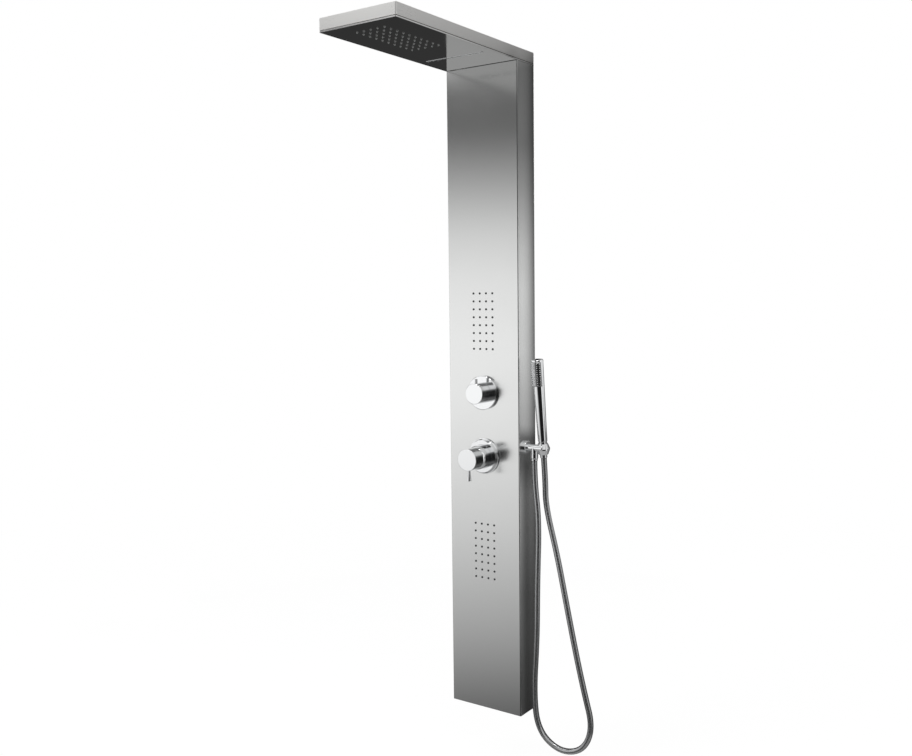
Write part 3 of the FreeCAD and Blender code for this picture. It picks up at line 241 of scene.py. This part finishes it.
def plastic(name, dark, light, rough):
    """A moulded plastic or rubber with a fine texture."""
    f = Finish(name)
    f.set(Metallic=0.0)
    texture = f.noise(PLASTIC_SCALE, 3.0)
    cloud = f.noise(PLASTIC_CLOUD_SCALE, 2.0)
    f.shade(f.blend(cloud, dark, light), "Base Color")
    f.shade(f.span(texture, rough[0], rough[1], *NOISE_RANGE), "Roughness")
    f.relief(texture, PLASTIC_RELIEF)
    return f.mat


# ---------------------------------------------------------------- finishes
UP_GRAIN = (1.0, 1.0, 0.012)
LONG_GRAIN = (1.0, 0.012, 1.0)
PLATE_LIP_TOP = 0.0828  # the plate's polished lip ends at this height


def knob_centre(node):
    low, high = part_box(node)
    middle = (low + high) / 2
    return (middle.x, middle.y, middle.z)


DIVERTER_CENTRE = knob_centre("diverter_knob")
MIXER_CENTRE = knob_centre("mixer_knob")

column_steel = metal("column_steel", (0.71, 0.715, 0.71), (0.745, 0.75, 0.745), (0.17, 0.21),
                     UP_GRAIN, 3600.0, relief=0.015, edge=0.0006, anisotropic=0.6,
                     tangent="level", smudge=0.02)
head_steel = metal("head_steel", (0.80, 0.795, 0.78), (0.86, 0.855, 0.84), (0.26, 0.32),
                   LONG_GRAIN, 3200.0, relief=0.02, edge=0.0006, anisotropic=0.75,
                   tangent=(0.05, 0.0, 1.0), smudge=0.03)
# The head plate's finish: its dark base colour is painted shade on the polished underside and,
# above PLATE_LIP_TOP, a painted shadow on the upright faces in the gap behind the lip; the lip's
# upright faces below keep a pale steel colour.
mirror_steel_painted_shade = metal("mirror_steel_painted_shade", (0.155, 0.155, 0.155), (0.175, 0.175, 0.17), (0.05, 0.075),
                     LONG_GRAIN, 2200.0, relief=0.01, edge=0.0004, smudge=0.03,
                     upright=(0.88, 0.875, 0.87), upright_top=PLATE_LIP_TOP)
chrome = metal("chrome", (0.80, 0.81, 0.82), (0.86, 0.865, 0.87), (0.045, 0.07),
               relief=0.004, edge=0.0005, smudge=0.03)
diverter_chrome = metal("diverter_chrome", (0.80, 0.81, 0.815), (0.87, 0.875, 0.88),
                        (0.09, 0.14), relief=0.012, edge=0.0006, spin=DIVERTER_CENTRE,
                        anisotropic=0.35)
mixer_chrome = metal("mixer_chrome", (0.80, 0.81, 0.815), (0.87, 0.875, 0.88), (0.09, 0.14),
                     relief=0.012, edge=0.0006, spin=MIXER_CENTRE, anisotropic=0.35)
hose_steel = metal("hose_steel", (0.40, 0.405, 0.41), (0.50, 0.505, 0.51), (0.03, 0.05),
                   relief=0.002, smudge=0.02)
brass = metal("brass", (0.62, 0.43, 0.17), (0.74, 0.54, 0.24), (0.24, 0.36),
              relief=0.08, edge=0.0005, smudge=0.1)
tube_steel = metal("tube_steel", (0.55, 0.55, 0.54), (0.66, 0.66, 0.65), (0.22, 0.32),
                   relief=0.03, smudge=0.08)
bracket_steel = metal("bracket_steel", (0.50, 0.51, 0.50), (0.62, 0.63, 0.62), (0.34, 0.46),
                      relief=0.06, edge=0.0006, smudge=0.1)
pale_silicone = plastic("pale_silicone", (0.34, 0.345, 0.34), (0.42, 0.425, 0.42), (0.42, 0.55))
dark_silicone = plastic("dark_silicone", (0.035, 0.036, 0.038), (0.06, 0.062, 0.064),
                        (0.4, 0.52))
spray_grey = metal("spray_grey", (0.42, 0.425, 0.43), (0.50, 0.505, 0.51), (0.22, 0.30),
                   relief=0.02, smudge=0.04)
spray_tip = plastic("spray_tip", (0.62, 0.63, 0.63), (0.72, 0.73, 0.73), (0.45, 0.55))
cartridge_plastic = plastic("cartridge_plastic", (0.70, 0.69, 0.66), (0.78, 0.77, 0.74),
                            (0.35, 0.45))
chamber_plastic = plastic("chamber_plastic", (0.09, 0.095, 0.10), (0.13, 0.135, 0.14),
                          (0.4, 0.55))

FINISHES = {
    column_steel: ["panel_casing", "panel_foot"],
    head_steel: ["head_shell"],
    mirror_steel_painted_shade: ["head_plate"],
    chrome: [
        "diverter_pin", "diverter_escutcheon", "mixer_sleeve", "mixer_escutcheon",
        "mixer_lever_pin", "outlet_rosette", "outlet_arm", "holder_ring", "hose_nut_outlet",
        "hose_nut_handset", "handset_body", "handset_cap", "waterfall_spout",
    ],
    diverter_chrome: ["diverter_knob"],
    mixer_chrome: ["mixer_knob"],
    brass: [
        "diverter_body", "mixer_body", "hot_inlet", "cold_inlet", "cartridge_nut",
        "diverter_nut", "diverter_stem", "mixer_carrier", "mixer_spindle", "handset_inlet",
    ],
    tube_steel: [
        "pipe_mixer_to_diverter", "pipe_rain", "pipe_waterfall", "pipe_upper_jets",
        "pipe_lower_jets", "pipe_hand_shower", "mixer_pivot_pin", "mixer_set_screw",
        "diverter_set_screw",
    ],
    bracket_steel: [
        "upper_wall_bracket", "lower_wall_bracket", "upper_hanger", "lower_hanger",
        "head_stays", "pipe_straps",
    ],
    pale_silicone: ["rain_nozzles"],
    dark_silicone: ["upper_jet_nozzles", "lower_jet_nozzles"],
    spray_grey: ["handset_spray_plate"],
    spray_tip: ["handset_nozzles"],
    cartridge_plastic: ["mixer_cartridge", "diverter_cartridge"],
    chamber_plastic: [
        "rain_chamber", "waterfall_chamber", "upper_jet_manifold", "lower_jet_manifold",
    ],
}


def dress(piece, material):
    piece.data.materials.clear()
    piece.data.materials.append(material)


for material, names in FINISHES.items():
    for name in names:
        dress(NODES[name], material)

# ---------------------------------------------------------------- hose
HOSE_RADIUS = 0.007
HOSE_ROUTE = [  # x, y and the rise above the column's foot
    (0.1246, -0.0490, 0.6265),
    (0.1246, -0.0490, 0.5760),
    (0.1368, -0.0496, 0.4805),
    (0.1317, -0.0504, 0.3297),
    (0.1305, -0.0508, 0.1937),
    (0.1209, -0.0504, 0.0553),
    (0.1321, -0.0508, -0.0356),
    (0.1916, -0.0526, -0.0743),
    (0.2559, -0.0534, -0.0560),
    (0.2818, -0.0520, 0.0056),
    (0.2575, -0.0496, 0.0869),
    (0.2332, -0.0452, 0.1748),
    (0.2053, -0.0404, 0.2890),
    (0.1786, -0.0358, 0.4016),
    (0.1441, -0.0300, 0.5154),
    (0.1435, -0.0303, 0.5783),
    (0.1435, -0.0371, 0.6339),
]
RIB_PITCH = 0.0024
# share of the pitch and step from the hose's radius
RIB_PROFILE = [(0.0, -0.0005), (0.06, 0.0), (0.13, 0.0), (0.87, 0.0), (0.94, 0.0)]
ROUND = 28
CURVE_STEPS = 32
FRAME_STEP = 0.001
WAY_REACH = 0.002
LIFT_REACH = 0.047
TAIL_POINTS = 25
TAIL_THINNER = 0.0014


def hose_line():
    """Points along the hose's smooth curve, close together, from the outlet to the handset."""
    curve = bpy.data.curves.new("hose_line", "CURVE")
    curve.dimensions = "3D"
    curve.resolution_u = CURVE_STEPS
    spline = curve.splines.new("NURBS")
    spline.points.add(len(HOSE_ROUTE) - 1)
    for point, (x, y, rise) in zip(spline.points, HOSE_ROUTE):
        point.co = (x, y, rise - MOUNT_RISE, 1.0)
    spline.order_u = 3
    spline.use_endpoint_u = True
    holder = bpy.data.objects.new("hose_line", curve)
    bpy.context.scene.collection.objects.link(holder)
    bpy.context.view_layer.update()
    mesh = bpy.data.meshes.new_from_object(holder)
    points = np.array([v.co for v in mesh.vertices], float)
    bpy.data.objects.remove(holder)
    bpy.data.meshes.remove(mesh)
    bpy.data.curves.remove(curve)
    return points


def length_of(line):
    return float(np.linalg.norm(np.diff(line, axis=0), axis=1).sum())


def between(distances, travelled, values):
    """Rows of values read at distances, in a straight line between the known ones."""
    return np.stack([np.interp(distances, travelled, values[:, k]) for k in range(3)], axis=1)


def unit(rows):
    return rows / np.linalg.norm(rows, axis=1)[:, None]


def along(line, distances):
    """Points and unit directions at distances along a line of points."""
    steps = np.linalg.norm(np.diff(line, axis=0), axis=1)
    travelled = np.concatenate([[0.0], np.cumsum(steps)])
    distances = np.clip(distances, 0.0, travelled[-1])
    ahead = np.clip(distances + WAY_REACH, 0.0, travelled[-1])
    behind = np.clip(distances - WAY_REACH, 0.0, travelled[-1])
    way = between(ahead, travelled, line) - between(behind, travelled, line)
    return between(distances, travelled, line), unit(way)


def ribbed_tube(name, line, radius):
    """A spiral-wound metal tube along a line of points."""
    length = length_of(line)
    turns = int(round(length / RIB_PITCH))
    shares = [(turn + part, drop) for turn in range(turns) for part, drop in RIB_PROFILE]
    shares.append((float(turns), RIB_PROFILE[0][1]))
    fine = np.arange(0.0, length + FRAME_STEP, FRAME_STEP)
    ways = along(line, fine)[1]
    sides = np.zeros_like(ways)
    side = np.array([0.0, -1.0, 0.0])
    for i, way in enumerate(ways):
        side = side - way * (side @ way)
        side = side / np.linalg.norm(side)
        sides[i] = side
    angles = np.arange(ROUND) * 2 * math.pi / ROUND
    vertices = []
    for share, drop in shares:
        distances = (share + angles / (2 * math.pi) - 0.5) * RIB_PITCH
        distances = np.clip(distances, 0.0, length)
        centres, directions = along(line, distances)
        normals = between(distances, fine, sides)
        normals = unit(normals - directions * (normals * directions).sum(axis=1)[:, None])
        others = np.cross(directions, normals)
        outward = normals * np.cos(angles)[:, None] + others * np.sin(angles)[:, None]
        vertices.append(centres + outward * (radius + drop))
    faces = []
    for ring in range(len(vertices) - 1):
        low, high = ring * ROUND, (ring + 1) * ROUND
        for k in range(ROUND):
            after = (k + 1) % ROUND
            faces.append((low + k, low + after, high + after, high + k))
    mesh = bpy.data.meshes.new(name)
    mesh.from_pydata(np.concatenate(vertices).tolist(), [], faces)
    mesh.shade_smooth()
    piece = bpy.data.objects.new(name, mesh)
    bpy.context.scene.collection.objects.link(piece)
    dress(piece, hose_steel)
    return piece


def paid_out_line(line):
    """The hose's last run, halfway between its curve and the straight way of the lift."""
    length = length_of(line)
    distances = np.linspace(length - LIFT_REACH, length, TAIL_POINTS)
    lift_way = along(line, np.array([length]))[1][0]
    straight = line[-1] - lift_way * (length - distances)[:, None]
    return (along(line, distances)[0] + straight) / 2


line = hose_line()
hose = ribbed_tube("shower_hose", line, HOSE_RADIUS)
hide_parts("hose")
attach(hose, "panel")
# thinner than the hose, so that it hides inside it until the hand shower is lifted
hose_top = ribbed_tube("hose_paid_out", paid_out_line(line), HOSE_RADIUS - TAIL_THINNER)
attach(hose_top, "hose_end")

# ---------------------------------------------------------------- studio cards
CARD_DISTANCE = 1.8
CARD_STEPS = 24
CARD_HEIGHTS = [  # height and brightness, over the whole card
    (-2.6, 0.04), (-2.25, 0.14), (-2.1, 0.26), (-1.9, 0.42), (-1.4, 0.74), (-0.9, 0.98),
    (-0.65, 1.0), (-0.4, 0.93), (-0.2, 0.76), (0.0, 0.42), (0.2, 0.125), (0.4, 0.13),
    (0.5, 0.65), (0.6, 1.12), (1.5, 1.1),
]
CARD_LOW, CARD_HIGH = CARD_HEIGHTS[0][0], CARD_HEIGHTS[-1][0]

WALL_Y = 0.004
WALL_NEAR, WALL_FAR = 0.102, 0.7
WALL_LOW, WALL_HIGH = -1.7, 1.2
WALL_HEIGHTS = [
    (-1.7, 0.03), (-1.45, 0.14), (-1.2, 0.24), (-0.95, 0.5), (-0.87, 0.22), (-0.81, 0.22),
    (-0.78, 0.62), (-0.6, 0.94), (-0.45, 1.0), (-0.35, 0.84), (-0.2, 0.44), (-0.1, 0.24),
    (0.08, 0.2), (0.15, 0.0), (0.3, 0.0),
]
WALL_OVER_HEAD = [(0.08, 0.0), (0.16, 0.36), (0.3, 0.5), (1.2, 0.5)]
# distance from the column's middle and brightness, above the outlet arm and below it
BESIDE_HIGH = [
    (0.1, 0.06), (0.108, 0.24), (0.124, 0.66), (0.145, 0.92), (0.155, 0.9), (0.16, 0.06),
    (0.176, 0.06), (0.184, 0.95), (0.3, 1.0),
]
BESIDE_LOW = [
    (0.1, 0.05), (0.11, 0.28), (0.121, 0.33), (0.1315, 0.14), (0.142, 0.34), (0.149, 0.8),
    (0.155, 1.0), (0.3, 1.0),
]
LOW_DOWN = [(-1.7, 1.0), (-0.88, 1.0), (-0.8, 0.0), (0.3, 0.0)]


def ramp(tree, value, stops):
    """A brightness curve through stops of position and brightness."""
    low, high = stops[0][0], stops[-1][0]
    fit = tree.nodes.new("ShaderNodeMapRange")
    fit.inputs["From Min"].default_value = low
    fit.inputs["From Max"].default_value = high
    tree.links.new(value, fit.inputs["Value"])
    node = tree.nodes.new("ShaderNodeValToRGB")
    elements = node.color_ramp.elements
    while len(elements) > 1:
        elements.remove(elements[-1])
    for i, (position, level) in enumerate(stops):
        share = (position - low) / (high - low)
        element = elements[0] if i == 0 else elements.new(share)
        element.position = share
        element.color = (level, level, level, 1)
    tree.links.new(fit.outputs["Result"], node.inputs["Fac"])
    return node.outputs["Color"]


def glow(name, build):
    """A material that only gives light. build returns its strength from the tree and x, y, z."""
    mat = bpy.data.materials.new(name)
    mat.use_nodes = True
    tree = mat.node_tree
    tree.nodes.clear()
    output = tree.nodes.new("ShaderNodeOutputMaterial")
    emission = tree.nodes.new("ShaderNodeEmission")
    tree.links.new(emission.outputs[0], output.inputs["Surface"])
    parts = tree.nodes.new("ShaderNodeSeparateXYZ")
    tree.links.new(tree.nodes.new("ShaderNodeTexCoord").outputs["Object"], parts.inputs[0])
    tree.links.new(build(tree, *parts.outputs), emission.inputs["Strength"])
    return mat


def light_card(name, corners, faces, material):
    """A card that gives light and shows in reflections, but is unseen and casts no shadow."""
    mesh = bpy.data.meshes.new(name)
    mesh.from_pydata(corners, [], faces)
    piece = bpy.data.objects.new(name, mesh)
    bpy.context.scene.collection.objects.link(piece)
    piece.data.materials.append(material)
    piece.visible_camera = False
    piece.visible_shadow = False
    return piece


def side_card(name, start, end, fade_start, fade_end, strength):
    """A tall curved card between two azimuths; 0 is straight ahead and 90 to the right."""
    corners = []
    for i in range(CARD_STEPS + 1):
        turn = math.radians(start + (end - start) * i / CARD_STEPS)
        x, y = CARD_DISTANCE * math.sin(turn), -CARD_DISTANCE * math.cos(turn)
        corners += [(x, y, CARD_LOW), (x, y, CARD_HIGH)]
    faces = [(a, a + 1, a + 3, a + 2) for a in range(0, 2 * CARD_STEPS, 2)]
    across = [(start, 0.0), (start + fade_start, 1.0), (end - fade_end, 1.0), (end, 0.0)]

    def build(tree, x, y, z):
        turn = maths(tree, "ARCTAN2", x, maths(tree, "MULTIPLY", y, -1.0))
        width = ramp(tree, maths(tree, "MULTIPLY", turn, 180 / math.pi), across)
        height = ramp(tree, z, CARD_HEIGHTS)
        return maths(tree, "MULTIPLY", maths(tree, "MULTIPLY", width, height), strength)

    return light_card(name, corners, faces, glow(name, build))


def wall_strength(tree, x, y, z):
    """The wall beside the column: dark in the corner against it, brighter further out."""
    aside = maths(tree, "ABSOLUTE", x)
    low_down = ramp(tree, z, LOW_DOWN)
    high_up = maths(tree, "SUBTRACT", 1.0, low_down)
    beside = maths(tree, "ADD",
                   maths(tree, "MULTIPLY", ramp(tree, aside, BESIDE_HIGH), high_up),
                   maths(tree, "MULTIPLY", ramp(tree, aside, BESIDE_LOW), low_down))
    beside = maths(tree, "MULTIPLY", beside, ramp(tree, z, WALL_HEIGHTS))
    return maths(tree, "ADD", beside, ramp(tree, z, WALL_OVER_HEAD))


side_card("card_left", -95.0, 4.0, fade_start=8.0, fade_end=26.0, strength=1.12)
side_card("card_right", 72.0, 160.0, fade_start=7.0, fade_end=6.0, strength=1.1)
side_card("card_back", -172.0, -104.0, fade_start=10.0, fade_end=10.0, strength=0.085)
wall_card = light_card(
    "card_wall_right",
    [(WALL_NEAR, WALL_Y, WALL_LOW), (WALL_FAR, WALL_Y, WALL_LOW),
     (WALL_FAR, WALL_Y, WALL_HIGH), (WALL_NEAR, WALL_Y, WALL_HIGH)],
    [(0, 1, 2, 3)], glow("wall_glow", wall_strength))
wall_card.visible_diffuse = False

# ---------------------------------------------------------------- studio lights
MIDDLE = (0.05, -0.15, -0.7)
HEAD_AIM = (0.0, -0.2, 0.0)


def area_light(name, place, aim, size, power, glossy=True):
    light = bpy.data.lights.new(name, "AREA")
    light.shape = "RECTANGLE"
    light.size = size
    light.size_y = size
    light.energy = power
    piece = bpy.data.objects.new(name, light)
    piece.location = place
    piece.rotation_euler = (Vector(aim) - Vector(place)).to_track_quat("-Z", "Y").to_euler()
    piece.visible_glossy = glossy
    bpy.context.scene.collection.objects.link(piece)


area_light("key", (-1.4, -2.4, 1.6), MIDDLE, size=1.4, power=60, glossy=False)
area_light("fill", (2.0, -2.2, 0.9), MIDDLE, size=1.6, power=28, glossy=False)
area_light("top", (0.0, -0.6, 2.0), HEAD_AIM, size=1.2, power=16)
area_light("behind", (-0.8, 2.2, 0.6), MIDDLE, size=1.4, power=26)

# ---------------------------------------------------------------- surroundings and floor
SKY = [  # height of the direction, from straight down to straight up, and brightness
    (-1.0, 0.42), (-0.7, 0.45), (-0.55, 0.12), (-0.4, 0.012), (0.1, 0.012), (0.25, 0.12),
    (0.36, 0.8), (1.0, 0.9),
]
FLOOR_DROP = 0.09
FLOOR_LEVEL = CAD_BOX[0].z - FLOOR_DROP
FLOOR_RADIUS = 14.0
FLOOR_SIDES = 64
FLOOR_FADE = [(0.0, 0.94), (1.0, 0.965), (3.5, 1.0), (5.0, 1.0)]


def build_world():
    """White where the camera looks past everything, and graded light from all round."""
    world = bpy.data.worlds.new("studio")
    bpy.context.scene.world = world
    world.use_nodes = True
    tree = world.node_tree
    tree.nodes.clear()
    output = tree.nodes.new("ShaderNodeOutputWorld")
    seen = tree.nodes.new("ShaderNodeBackground")
    seen.inputs["Color"].default_value = (1, 1, 1, 1)
    lit = tree.nodes.new("ShaderNodeBackground")
    direction = tree.nodes.new("ShaderNodeSeparateXYZ")
    place = tree.nodes.new("ShaderNodeTexCoord")
    tree.links.new(place.outputs["Generated"], direction.inputs[0])
    tree.links.new(ramp(tree, direction.outputs["Z"], SKY), lit.inputs["Color"])
    rays = tree.nodes.new("ShaderNodeLightPath")
    choose = tree.nodes.new("ShaderNodeMixShader")
    tree.links.new(rays.outputs["Is Camera Ray"], choose.inputs["Fac"])
    tree.links.new(lit.outputs[0], choose.inputs[1])
    tree.links.new(seen.outputs[0], choose.inputs[2])
    tree.links.new(choose.outputs[0], output.inputs["Surface"])


def build_floor():
    """A pale round floor that fades into the white around it."""
    turns = [2 * math.pi * i / FLOOR_SIDES for i in range(FLOOR_SIDES)]
    mesh = bpy.data.meshes.new("floor")
    mesh.from_pydata(
        [(FLOOR_RADIUS * math.cos(t), FLOOR_RADIUS * math.sin(t), 0.0) for t in turns],
        [], [tuple(range(FLOOR_SIDES))])
    floor = bpy.data.objects.new("floor", mesh)
    floor.location = (0.0, 0.0, FLOOR_LEVEL)
    floor.visible_glossy = False
    floor.visible_diffuse = False
    bpy.context.scene.collection.objects.link(floor)
    look = bpy.data.materials.new("floor")
    look.use_nodes = True
    tree = look.node_tree
    tree.nodes.clear()
    output = tree.nodes.new("ShaderNodeOutputMaterial")
    matt = tree.nodes.new("ShaderNodeBsdfDiffuse")
    matt.inputs["Color"].default_value = (0.86, 0.86, 0.86, 1)
    pale = tree.nodes.new("ShaderNodeEmission")
    mixed = tree.nodes.new("ShaderNodeMixShader")
    place = tree.nodes.new("ShaderNodeTexCoord")
    far = tree.nodes.new("ShaderNodeVectorMath")
    far.operation = "LENGTH"
    tree.links.new(place.outputs["Object"], far.inputs[0])
    tree.links.new(ramp(tree, far.outputs["Value"], FLOOR_FADE), mixed.inputs["Fac"])
    tree.links.new(matt.outputs[0], mixed.inputs[1])
    tree.links.new(pale.outputs[0], mixed.inputs[2])
    tree.links.new(mixed.outputs[0], output.inputs["Surface"])
    mesh.materials.append(look)


build_world()
build_floor()
bpy.context.scene.view_settings.view_transform = "Standard"
